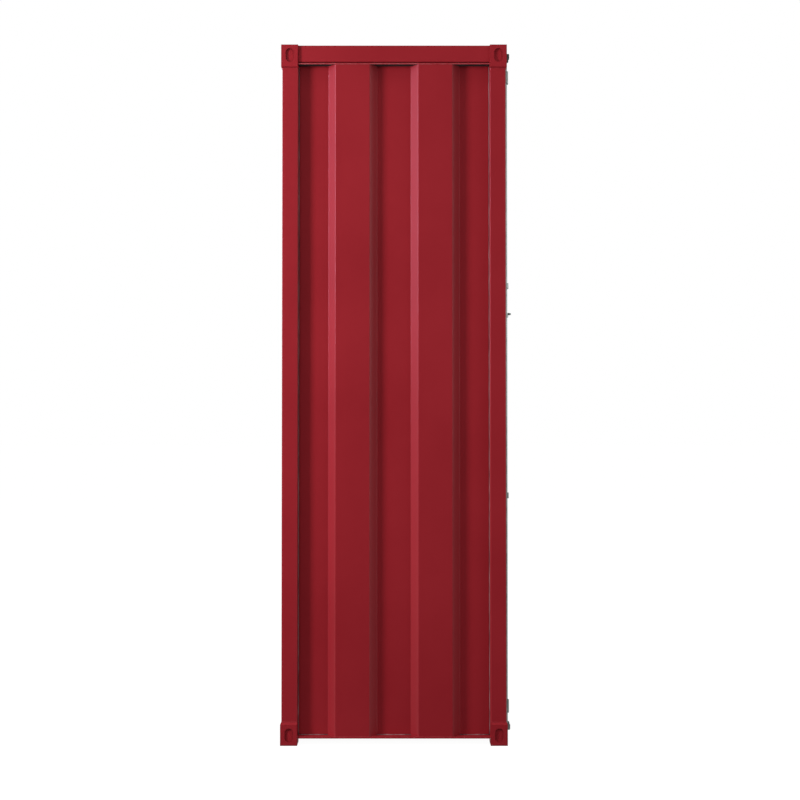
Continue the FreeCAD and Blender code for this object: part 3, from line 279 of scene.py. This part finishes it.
class Finish:
    """A material under construction, with its tree, its shader and its Object coordinates at hand."""

    def __init__(self, name):
        self.material = bpy.data.materials.new(name)
        self.material.use_nodes = True
        self.tree = self.material.node_tree
        self.shader = self.tree.nodes["Principled BSDF"]
        coordinates = self.tree.nodes.new("ShaderNodeTexCoord")
        self.place = coordinates.outputs["Object"]
        self.normal = coordinates.outputs["Normal"]

    def set(self, **values):
        """Plain values on the shader's own sockets; underscores stand for spaces."""
        for title, value in values.items():
            self.shader.inputs[title.replace("_", " ")].default_value = value

    def link(self, source, title):
        """Feeds one of the shader's sockets."""
        self.tree.links.new(source, self.shader.inputs[title])

    def stretched_place(self, scale):
        """Object coordinates squeezed or drawn out along the axes."""
        mapping = self.tree.nodes.new("ShaderNodeMapping")
        mapping.inputs["Scale"].default_value = scale
        self.tree.links.new(self.place, mapping.inputs["Vector"])
        return mapping.outputs["Vector"]

    def edges(self, radius):
        """The shared edge mask with this finish's own radius."""
        node = self.tree.nodes.new("ShaderNodeGroup")
        node.node_tree = EDGE_MASK
        node.inputs["Radius"].default_value = radius
        self.tree.links.new(self.place, node.inputs["Place"])
        return node.outputs["Mask"]

    def slopes(self):
        """A mask that is 1 on upright faces aslant to both level axes, such as a corrugation's slopes."""
        split = self.tree.nodes.new("ShaderNodeSeparateXYZ")
        self.tree.links.new(self.normal, split.inputs["Vector"])
        slant = math_node(self.tree, "MULTIPLY", split.outputs["X"], split.outputs["Y"])
        size = math_node(self.tree, "ABSOLUTE", slant)
        return spread(self.tree, size, low=SLOPE_FAINT, high=SLOPE_FULL)

    def blend(self, mask, low, high):
        """A colour between two, by a mask. Each of the two is a colour or a socket."""
        node = self.tree.nodes.new("ShaderNodeMix")
        node.data_type = "RGBA"
        self.tree.links.new(mask, node.inputs["Factor"])
        for title, colour in (("A", low), ("B", high)):
            socket = next(s for s in node.inputs if s.name == title and s.type == "RGBA")
            if isinstance(colour, tuple):
                socket.default_value = (*colour, 1.0)
            else:
                self.tree.links.new(colour, socket)
        return next(s for s in node.outputs if s.type == "RGBA")

    def range_of(self, mask, low, high):
        """A value between two, by a mask."""
        node = self.tree.nodes.new("ShaderNodeMapRange")
        node.inputs["To Min"].default_value = low
        node.inputs["To Max"].default_value = high
        self.tree.links.new(mask, node.inputs["Value"])
        return node.outputs["Result"]

    def bump(self, height, strength, distance):
        """Raises the surface by a height socket."""
        node = self.tree.nodes.new("ShaderNodeBump")
        node.inputs["Strength"].default_value = strength
        node.inputs["Distance"].default_value = distance
        self.tree.links.new(height, node.inputs["Height"])
        self.link(node.outputs["Normal"], "Normal")

    def skin(self, place, tones, roughness, peel_scale, cloud_scale, bump_strength, bump_distance):
        """Lays the shared grain over the finish: sets its roughness and bump, and gives its body colour."""
        grain = self.tree.nodes.new("ShaderNodeGroup")
        grain.node_tree = COAT_GRAIN
        grain.inputs["Peel Scale"].default_value = peel_scale
        grain.inputs["Cloud Scale"].default_value = cloud_scale
        self.tree.links.new(place, grain.inputs["Place"])
        self.link(self.range_of(grain.outputs["Gloss"], *roughness), "Roughness")
        self.bump(grain.outputs["Height"], bump_strength, bump_distance)
        return self.blend(grain.outputs["Tone"], *tones)


def red_coat(name, peel_scale, bump_distance, roughness, rim, bends, slopes):
    """Satin red powder coat with a fine peel, whose edges carry a rim of painted highlight or painted shade,
    as the finish gives, and whose gloss changes at edges and on slopes.
    """
    finish = Finish(name)
    body = finish.skin(
        finish.place,
        tones=(RED_DEEP, RED_BRIGHT),
        roughness=roughness,
        peel_scale=peel_scale,
        cloud_scale=RED_CLOUD_SCALE,
        bump_strength=RED_BUMP_STRENGTH,
        bump_distance=bump_distance,
    )
    # Near sharp edges the body colour gives way to the rim colour: painted highlight on sheet, painted shade
    # on rails and castings
    colour, reach, share = rim
    edge = finish.range_of(finish.edges(reach), 0.0, share)
    finish.link(finish.blend(edge, body, colour), "Base Color")
    bend_gloss = finish.range_of(finish.edges(BEND_REACH), COAT_FACES, bends)
    slope_gloss = math_node(finish.tree, "MULTIPLY", finish.slopes(), slopes)
    finish.link(math_node(finish.tree, "MAXIMUM", bend_gloss, slope_gloss), "Coat Weight")
    finish.set(Specular_IOR_Level=RED_SPECULAR, Coat_Roughness=COAT_ROUGHNESS)
    return finish.material


def sheet_red():
    """The red coat on sheet and posts, with pale rims that paint a highlight on the edges, and glossy bends
    and slopes.
    """
    film = (SHEET_PEEL_SCALE, SHEET_BUMP_DISTANCE, SHEET_ROUGHNESS)
    return red_coat("red_sheet", *film, HIGHLIGHT_RIM, bends=COAT_BENDS, slopes=COAT_SLOPES)


def rail_red():
    """The red coat on rails, with dark rims of painted shade at the edges and an even gloss."""
    film = (SHEET_PEEL_SCALE, SHEET_BUMP_DISTANCE, SHEET_ROUGHNESS)
    return red_coat("red_rail", *film, SHADE_RIM, bends=COAT_FACES, slopes=0.0)


def casting_red():
    """The red coat on castings: coarser and rougher, with dark rims of painted shade at the edges and an
    even gloss.
    """
    film = (CASTING_PEEL_SCALE, CASTING_BUMP_DISTANCE, CASTING_ROUGHNESS)
    return red_coat("red_casting", *film, SHADE_RIM, bends=COAT_FACES, slopes=0.0)


def zinc_plate():
    """Zinc-plated steel with a faint cool bloom, brighter where its edges are rubbed."""
    finish = Finish("zinc_plate")
    body = finish.skin(
        finish.place,
        tones=(ZINC_DARK, ZINC_BRIGHT),
        roughness=(0.30, 0.46),
        peel_scale=520.0,
        cloud_scale=45.0,
        bump_strength=0.2,
        bump_distance=0.00008,
    )
    rubbed = finish.range_of(finish.edges(ZINC_RUB_REACH), 0.0, ZINC_RUB_SHARE)
    finish.link(finish.blend(rubbed, body, ZINC_EDGE), "Base Color")
    finish.set(Metallic=1.0)
    return finish.material


def turned_steel():
    """Plain steel of the rivets and hinge pins, with fine turning marks."""
    finish = Finish("turned_steel")
    body = finish.skin(
        finish.stretched_place((1.0, 6.0, 1.0)),
        tones=(STEEL_DARK, STEEL_BRIGHT),
        roughness=(0.26, 0.40),
        peel_scale=900.0,
        cloud_scale=120.0,
        bump_strength=0.15,
        bump_distance=0.00005,
    )
    finish.link(body, "Base Color")
    finish.set(Metallic=1.0)
    return finish.material


def chromed_tube():
    """Bright chrome with drawn lines along the tube."""
    finish = Finish("chromed_tube")
    body = finish.skin(
        finish.stretched_place((0.03, 1.0, 1.0)),
        tones=(CHROME_DARK, CHROME_BRIGHT),
        roughness=(0.08, 0.18),
        peel_scale=900.0,
        cloud_scale=60.0,
        bump_strength=0.1,
        bump_distance=0.00003,
    )
    finish.link(body, "Base Color")
    finish.set(Metallic=1.0)
    return finish.material


def seal_rubber():
    """Black rubber, matt, with a dusty bloom."""
    finish = Finish("seal_rubber")
    body = finish.skin(
        finish.place,
        tones=(RUBBER_DARK, RUBBER_BRIGHT),
        roughness=(0.62, 0.80),
        peel_scale=700.0,
        cloud_scale=30.0,
        bump_strength=0.3,
        bump_distance=0.00015,
    )
    finish.link(body, "Base Color")
    finish.set(Specular_IOR_Level=0.3)
    return finish.material


def seam_sealer():
    """Sealer run into a seam by hand: dull red-brown, with pale flecks drawn out along upright seams."""
    finish = Finish("seam_sealer")
    body = finish.skin(
        finish.stretched_place((1.0, 1.0, 0.12)),
        tones=(SEALER_DARK, SEALER_LIGHT),
        roughness=(0.50, 0.70),
        peel_scale=420.0,
        cloud_scale=160.0,
        bump_strength=0.5,
        bump_distance=0.0004,
    )
    finish.link(body, "Base Color")
    finish.set(Specular_IOR_Level=0.3)
    return finish.material


def dress(name, material):
    """Gives a finish to a CAD node."""
    slots = nodes[name].data.materials
    slots.clear()
    slots.append(material)


def dress_nodes():
    """Every CAD node's finish, by the first word that its name holds; the rest is red sheet."""
    sheet = sheet_red()
    rail = rail_red()
    casting = casting_red()
    zinc = zinc_plate()
    steel = turned_steel()
    rubber = seal_rubber()
    by_word = [
        ("gasket", rubber),
        ("rivets", steel),
        ("pins", steel),
        ("hanging_rail_cup", zinc),
        ("hanging_rail", chromed_tube()),
        ("casting", casting),
        ("lugs", casting),
        ("top_rail", rail),
        ("header", rail),
        ("sill", rail),
        ("keeper", zinc),
        ("strap", zinc),
        ("guide", zinc),
        ("cup", zinc),
        ("rod", zinc),
        ("cam", zinc),
        ("handle", zinc),
    ]
    for name in nodes:
        dress(name, next((finish for word, finish in by_word if word in name), sheet))
    return casting, rubber


# New pieces

def new_object(name, mesh, material):
    """Turns a bmesh into an object at the origin with one finish."""
    data = bpy.data.meshes.new(name)
    mesh.to_mesh(data)
    mesh.free()
    data.materials.append(material)
    item = bpy.data.objects.new(name, data)
    bpy.context.collection.objects.link(item)
    return item


def finished_piece(name, mesh, material, body, smooth=True):
    """Turns a bmesh into a piece that rides on a body."""
    bmesh.ops.recalc_face_normals(mesh, faces=mesh.faces)
    piece = new_object(name, mesh, material)
    if smooth:
        piece.data.shade_smooth()
    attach(piece, body)


def lengthened(mesh, face, step, ratio, middle):
    """Draws a bead's end face out by a step, then scales it about a point; gives the new end face."""
    grown = bmesh.ops.extrude_face_region(mesh, geom=[face, *face.edges])["geom"]
    end = next(item for item in grown if isinstance(item, bmesh.types.BMFace))
    bmesh.ops.translate(mesh, verts=end.verts, vec=step)
    to_middle = Matrix.Translation(-middle)
    bmesh.ops.scale(mesh, verts=end.verts, vec=(ratio, ratio, ratio), space=to_middle)
    return end


# Stitch welds

def weld_bead(mesh, start):
    """One rippled bead that runs up from a point, tapered at both ends."""
    ring = bmesh.ops.create_circle(
        mesh,
        cap_ends=True,
        segments=WELD_SIDES,
        radius=WELD_RADIUS * WELD_TIP,
        matrix=Matrix.Translation(start) @ UP.to_track_quat("Z", "Y").to_matrix().to_4x4(),
    )
    face = ring["verts"][0].link_faces[0]
    step = UP * (WELD_LENGTH / WELD_RIPPLES)
    widths = [1.0 if ripple % 2 == 0 else WELD_WAIST for ripple in range(WELD_RIPPLES - 1)]
    width = WELD_TIP
    for ripple, wanted in enumerate([*widths, WELD_TIP], start=1):
        face = lengthened(mesh, face, step, wanted / width, start + step * ripple)
        width = wanted


def weld_heights(low, high):
    """Where the stitches along one seam start, evenly spread between two heights."""
    run = high - low - 2 * WELD_END_MARGIN - WELD_LENGTH
    count = max(2, round(run / WELD_PITCH) + 1)
    return [low + WELD_END_MARGIN + run * index / (count - 1) for index in range(count)]


def stitch_welds(panel, corners, material):
    """The stitches that hold one panel's flanges to its posts, at the given plan points."""
    low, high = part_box(panel)
    mesh = bmesh.new()
    for x, y in corners:
        for z in weld_heights(low[2], high[2]):
            weld_bead(mesh, Vector((x, y, z)))
    finished_piece(f"{panel}_welds", mesh, material, "case")


def panel_welds(material):
    """Stitches inside the case, in the corners between the panels' flange ends and the posts."""
    for side in ("left", "right"):
        low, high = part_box(f"side_panel_{side}")
        x = high[0] if side == "left" else low[0]
        corners = [(x, low[1]), (x, high[1])]
        stitch_welds(f"side_panel_{side}", corners, material)
    low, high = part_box("back_panel")
    stitch_welds("back_panel", [(low[0], low[1]), (high[0], low[1])], material)


# What fills and seals the corrugated panels, with black fills that paint the shade in the tops of their
# valleys

class PanelFrame:
    """A corrugated panel's own directions: across it from its middle, out of it from its valleys, and up."""

    def __init__(self, panel, out, across):
        self.low, self.high = (Vector(corner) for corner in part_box(panel))
        self.out, self.across = out, across
        size = self.high - self.low
        self.half = abs(size.dot(across)) / 2
        self.valley = (self.low + self.high) / 2 + out * (abs(size.dot(out)) / 2 - VALLEY_DEPTH)
        self.foot = self.low.z + FOOT_LIP_HEIGHT
        self.head = self.high.z - TOP_LIP_DEPTH

    def point(self, aside, ahead, height):
        """The point so far aside of the middle and so far ahead of the valleys, at a height."""
        place = self.valley + self.across * aside + self.out * ahead
        return Vector((place.x, place.y, height))


def shade_fill(mesh, panel, left, right, left_flare, right_flare):
    """One black rubber fill in the top of a valley, from its floor to the back of the lip: painted shade
    under the lip.
    """
    top = panel.high.z - SHADE_FILL_TOP
    front = VALLEY_DEPTH - SHADE_FILL_FRONT
    corners = (
        panel.point(left, 0.0, top),
        panel.point(right, 0.0, top),
        panel.point(right + right_flare, front, top),
        panel.point(left - left_flare, front, top),
    )
    face = mesh.faces.new([mesh.verts.new(corner) for corner in corners])
    grown = bmesh.ops.extrude_face_region(mesh, geom=[face], use_keep_orig=True)["geom"]
    lower = [item for item in grown if isinstance(item, bmesh.types.BMVert)]
    bmesh.ops.translate(mesh, verts=lower, vec=UP * -SHADE_FILL_HEIGHT)


def valley_shade_fills(mesh, panel):
    """The black fills of painted shade in a panel's three valleys; the outer two end square against the
    posts.
    """
    shade_fill(mesh, panel, -MIDDLE_VALLEY_END, MIDDLE_VALLEY_END, VALLEY_FLARE, VALLEY_FLARE)
    shade_fill(mesh, panel, -panel.half, -EDGE_VALLEY_START, 0.0, VALLEY_FLARE)
    shade_fill(mesh, panel, EDGE_VALLEY_START, panel.half, VALLEY_FLARE, 0.0)


def corner_bead(mesh, start, end, first, second):
    """One bead along a corner, between the ways up its two walls; it swells and thins as if run by hand."""
    runs = max(2, round((end - start).length / BEAD_STEP))
    step = (end - start) / runs
    outline = (Vector(), first, (first + second) * BEAD_BULGE, second)
    face = mesh.faces.new([mesh.verts.new(start + way * BEAD_WIDTH) for way in outline])
    width = 1.0
    for run in range(1, runs + 1):
        wave = math.sin(BEAD_FAST_WAVE * run) * math.sin(BEAD_SLOW_WAVE * run)
        wanted = 1.0 + BEAD_SWELL * wave
        face = lengthened(mesh, face, step, wanted / width, start + step * run)
        width = wanted


def edge_beads(mesh, panel):
    """The beads at the two upright edges of a panel, from its ledge up to its lip."""
    for side in (-1, 1):
        aside = side * panel.half
        start = panel.point(aside, 0.0, panel.foot)
        end = panel.point(aside, 0.0, panel.head)
        corner_bead(mesh, start, end, -side * panel.across, panel.out)


def foot_highlight_beads(mesh, panel):
    """The beads along the foot of each valley, in the corner with its ledge; their pale sealer is also a
    painted highlight of the lit ledge.
    """
    valleys = (
        (-panel.half, -EDGE_VALLEY_START),
        (-MIDDLE_VALLEY_END, MIDDLE_VALLEY_END),
        (EDGE_VALLEY_START, panel.half),
    )
    for left, right in valleys:
        start = panel.point(left, 0.0, panel.foot)
        end = panel.point(right, 0.0, panel.foot)
        corner_bead(mesh, start, end, UP, panel.out)


def panel_fillings(sealer, rubber):
    """Sealer in the corners of the corrugated panels, and black rubber fills in the tops of their valleys,
    which paint the shade under the lip.
    """
    for name, out, across in PANELS:
        panel = PanelFrame(name, out, across)
        beads = bmesh.new()
        edge_beads(beads, panel)
        # Pale beads along the ledges: sealer, and a painted highlight of the lit ledge
        foot_highlight_beads(beads, panel)
        finished_piece(f"{name}_sealer", beads, sealer, "case")
        # Black rubber fills in the valley tops: painted shade under the lip
        shade_fills = bmesh.new()
        valley_shade_fills(shade_fills, panel)
        finished_piece(f"{name}_closures", shade_fills, rubber, "case", smooth=False)


# Floor, light and camera

def seen_ray(tree):
    """1 for the rays that show the background: to the camera, in gloss and through glass."""
    path = tree.nodes.new("ShaderNodeLightPath")
    seen = path.outputs["Is Camera Ray"]
    for title in ("Is Glossy Ray", "Is Transmission Ray"):
        seen = math_node(tree, "MAXIMUM", seen, path.outputs[title])
    return seen


def pale_floor():
    """A pale floor that shows white, and still takes the locker's shadow."""
    finish = Finish("pale_floor")
    finish.set(Base_Color=(FLOOR_TONE, FLOOR_TONE, FLOOR_TONE, 1.0), Roughness=0.9, Specular_IOR_Level=0.0)
    finish.set(Emission_Color=(1.0, 1.0, 1.0, 1.0))
    glow = math_node(finish.tree, "MULTIPLY", seen_ray(finish.tree), FLOOR_GLOW)
    finish.link(glow, "Emission Strength")
    mesh = bmesh.new()
    bmesh.ops.create_grid(mesh, x_segments=1, y_segments=1, size=FLOOR_HALF)
    floor = new_object("floor", mesh, finish.material)


def grey_flats():
    """Dim studio flats before and behind the locker, so that faces and edges don't mirror a white room."""
    finish = Finish("grey_flats")
    finish.set(Base_Color=(0.0, 0.0, 0.0, 1.0), Specular_IOR_Level=0.0)
    finish.set(Emission_Color=(FLAT_TONE, FLAT_TONE, FLAT_TONE, 1.0), Emission_Strength=1.0)
    mesh = bmesh.new()
    upright = Matrix.Rotation(math.radians(90), 4, "Y")
    for x in FLAT_PLACES:
        place = Matrix.Translation((x, 0.0, 0.0)) @ upright
        bmesh.ops.create_grid(mesh, x_segments=1, y_segments=1, size=FLAT_HALF, matrix=place)
    flats = new_object("grey_flats", mesh, finish.material)
    flats.visible_camera = False
    flats.visible_diffuse = False
    flats.visible_transmission = False
    flats.visible_shadow = False


def white_world():
    """White where the background shows, and a plain soft light for everything else."""
    world = bpy.data.worlds.new("studio")
    world.use_nodes = True
    bpy.context.scene.world = world
    tree = world.node_tree
    background = tree.nodes["Background"]
    background.inputs["Color"].default_value = (1.0, 1.0, 1.0, 1.0)
    level = tree.nodes.new("ShaderNodeMapRange")
    level.inputs["To Min"].default_value = AMBIENT
    level.inputs["To Max"].default_value = 1.0
    tree.links.new(seen_ray(tree), level.inputs["Value"])
    tree.links.new(level.outputs["Result"], background.inputs["Strength"])


def softbox(name, place, target, size, power):
    """A rectangular area light that looks at a point; gives its object."""
    data = bpy.data.lights.new(name, "AREA")
    data.shape = "RECTANGLE"
    data.size, data.size_y = size
    data.energy = power
    light = bpy.data.objects.new(name, data)
    light.location = place
    light.rotation_euler = (Vector(target) - Vector(place)).to_track_quat("-Z", "Y").to_euler()
    bpy.context.collection.objects.link(light)
    return light


def softboxes():
    """All the lights. Key and front don't show in gloss, and the pink strip shows only in gloss."""
    key = softbox("key_softbox", *KEY_LIGHT)
    key.visible_glossy = False
    softbox("fill_softbox", *FILL_LIGHT)
    front = softbox("front_softbox", *FRONT_LIGHT)
    front.visible_glossy = False
    softbox("door_softbox", *DOOR_LIGHT)
    softbox("right_softbox", *RIGHT_LIGHT)
    softbox("overhead_softbox", *OVERHEAD_LIGHT)
    strip = softbox("gloss_strip", *STRIP_LIGHT)
    strip.data.color = STRIP_TINT
    strip.visible_diffuse = False


def side_camera():
    """The camera, level with the side of the locker and tilted up a touch."""
    data = bpy.data.cameras.new("camera")
    data.sensor_width = CAMERA_SENSOR
    data.lens = CAMERA_LENS
    camera = bpy.data.objects.new("camera", data)
    camera.location = CAMERA_PLACE
    look = Vector((math.cos(CAMERA_TILT), 0.0, math.sin(CAMERA_TILT)))
    camera.rotation_euler = look.to_track_quat("-Z", "Y").to_euler()
    bpy.context.collection.objects.link(camera)
    bpy.context.scene.camera = camera


weld_red, shade_fill_rubber = dress_nodes()
panel_welds(weld_red)
# The seal rubber also makes the black fills of painted shade in the valley tops
panel_fillings(seam_sealer(), shade_fill_rubber)
pale_floor()
white_world()
grey_flats()
softboxes()
side_camera()
bpy.context.scene.view_settings.view_transform = "Standard"
